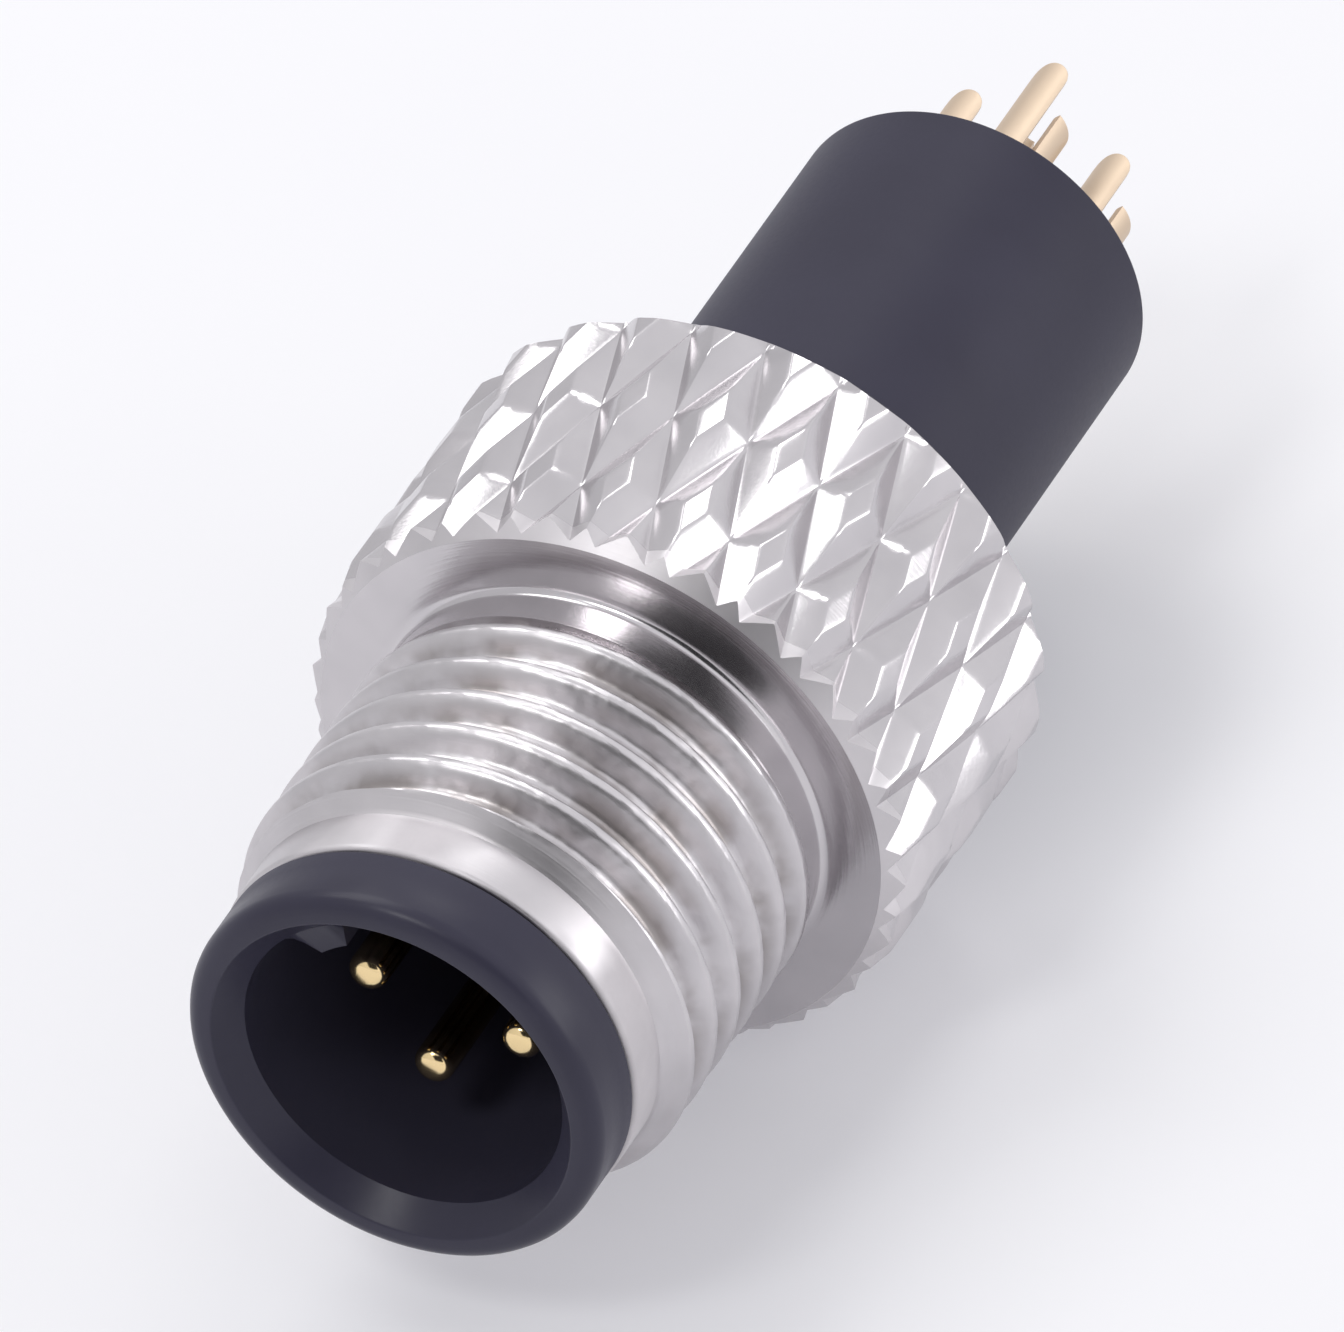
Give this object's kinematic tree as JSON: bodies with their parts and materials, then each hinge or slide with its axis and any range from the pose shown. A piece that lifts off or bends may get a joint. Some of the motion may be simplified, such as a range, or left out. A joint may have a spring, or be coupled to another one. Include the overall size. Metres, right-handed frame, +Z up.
{
  "type": "circular sensor connector",
  "caption": "Male circular sensor connector with a black contact insert, gold pins and solder cups, and a free-turning nickel coupling screw with an M12 thread and a diamond-knurled head.",
  "frame": {"origin": "middle of the part's length and width, on the plane that the knurled head lies on", "axes": "+Y along the connector's axis from the mating face to the solder cups, +Z up"},
  "size_m": [0.0156, 0.0368, 0.0157],
  "materials": {
    "insert_plastic": "fine matt moulded surface",
    "contact_gold": "gold-plated brass",
    "screw_nickel": "bright nickel-plated brass"
  },
  "bodies": {
    "insert_body": {"insert": "insert_plastic", "contact_1": "contact_gold", "contact_2": "contact_gold", "contact_3": "contact_gold", "contact_4": "contact_gold"},
    "screw_body": {"coupling_screw": "screw_nickel"}
  },
  "joints": [
    {"name": "screw_turn", "type": "hinge", "parent": "insert_body", "child": "screw_body", "pos_m": [0, 0, 0.00785], "axis": [0, 1, 0], "continuous": true}
  ]
}
